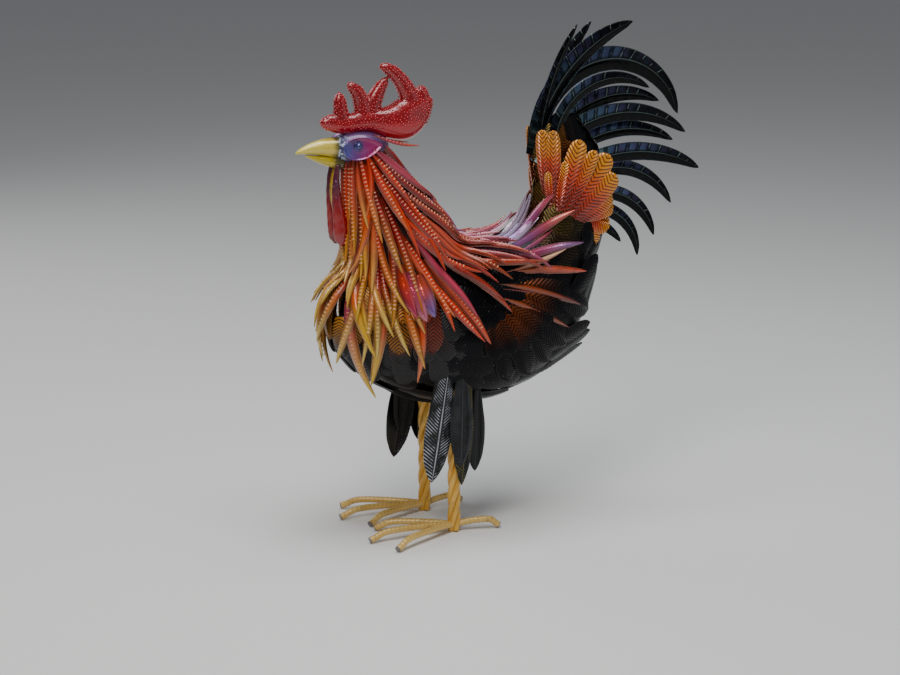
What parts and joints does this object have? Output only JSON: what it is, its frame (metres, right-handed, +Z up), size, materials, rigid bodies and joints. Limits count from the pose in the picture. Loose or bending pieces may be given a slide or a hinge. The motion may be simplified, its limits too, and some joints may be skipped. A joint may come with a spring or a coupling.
{
  "type": "scrap metal rooster sculpture",
  "caption": "Standing rooster welded from painted sheet steel, with layered feather plates, a beaded comb, an arched sickle tail and bar legs.",
  "frame": {"origin": "centre of the bottom of the bounding box, on the ground between the tail and the beak", "axes": "+X towards the tail, so the beak points to -X; +Y to the bird's right side; +Z up"},
  "size_m": [0.5016, 0.1858, 0.5763],
  "materials": {
    "black_paint": "satin black lacquer over embossed sheet steel",
    "hackle_paint": "glossy orange to red lacquer, yellow and pink in places, over embossed sheet steel",
    "breast_paint": "satin yellow to orange lacquer that fades to black, over embossed sheet steel",
    "covert_paint": "satin red-orange to yellow lacquer over embossed sheet steel",
    "saddle_paint": "glossy pink and lilac lacquer over sheet steel",
    "tail_paint": "black lacquer with a blue-green and violet sheen",
    "comb_paint": "glossy deep red lacquer over hammered steel",
    "head_paint": "satin purple lacquer",
    "eye_plate_paint": "satin magenta to blue-violet lacquer",
    "eye_paint": "high gloss dark violet lacquer",
    "beak_paint": "glossy yellow lacquer",
    "leg_paint": "satin yellow-orange lacquer on twisted steel bar",
    "toe_paint": "satin cream-yellow lacquer on ribbed bar with bare cut ends"
  },
  "bodies": {
    "root": {"body_shell": "black_paint", "neck_tube": "hackle_paint", "head_shell": "head_paint", "upper_beak": "beak_paint", "lower_beak": "beak_paint", "comb": "comb_paint", "hackle_row_1": "hackle_paint", "hackle_row_2": "hackle_paint", "hackle_row_3": "hackle_paint", "hackle_row_4": "hackle_paint", "breast_plates": "breast_paint", "flank_row_1": "black_paint", "flank_row_2": "black_paint", "flank_row_3": "black_paint", "tail_sickle_1": "tail_paint", "tail_sickle_2": "tail_paint", "tail_sickle_3": "tail_paint", "tail_sickle_4": "tail_paint", "tail_sickle_5": "tail_paint", "tail_sickle_6": "tail_paint", "tail_sickle_7": "tail_paint", "tail_sickle_8": "tail_paint", "tail_sickle_9": "tail_paint", "tail_sickle_10": "tail_paint", "tail_sickle_11": "tail_paint", "tail_sickle_12": "tail_paint", "tail_sickle_13": "tail_paint", "wing_left": "black_paint", "tail_coverts_left": "covert_paint", "saddle_left": "saddle_paint", "wattle_left": "comb_paint", "eye_plate_left": "eye_plate_paint", "eye_left": "eye_paint", "brow_left": "hackle_paint", "leg_left": "leg_paint", "thigh_plates_left": "black_paint", "middle_toe_left": "toe_paint", "inner_toe_left": "toe_paint", "outer_toe_left": "toe_paint", "back_toe_left": "toe_paint", "wing_right": "black_paint", "tail_coverts_right": "covert_paint", "saddle_right": "saddle_paint", "wattle_right": "comb_paint", "eye_plate_right": "eye_plate_paint", "eye_right": "eye_paint", "brow_right": "hackle_paint", "leg_right": "leg_paint", "thigh_plates_right": "black_paint", "middle_toe_right": "toe_paint", "inner_toe_right": "toe_paint", "outer_toe_right": "toe_paint", "back_toe_right": "toe_paint"}
  },
  "joints": []
}
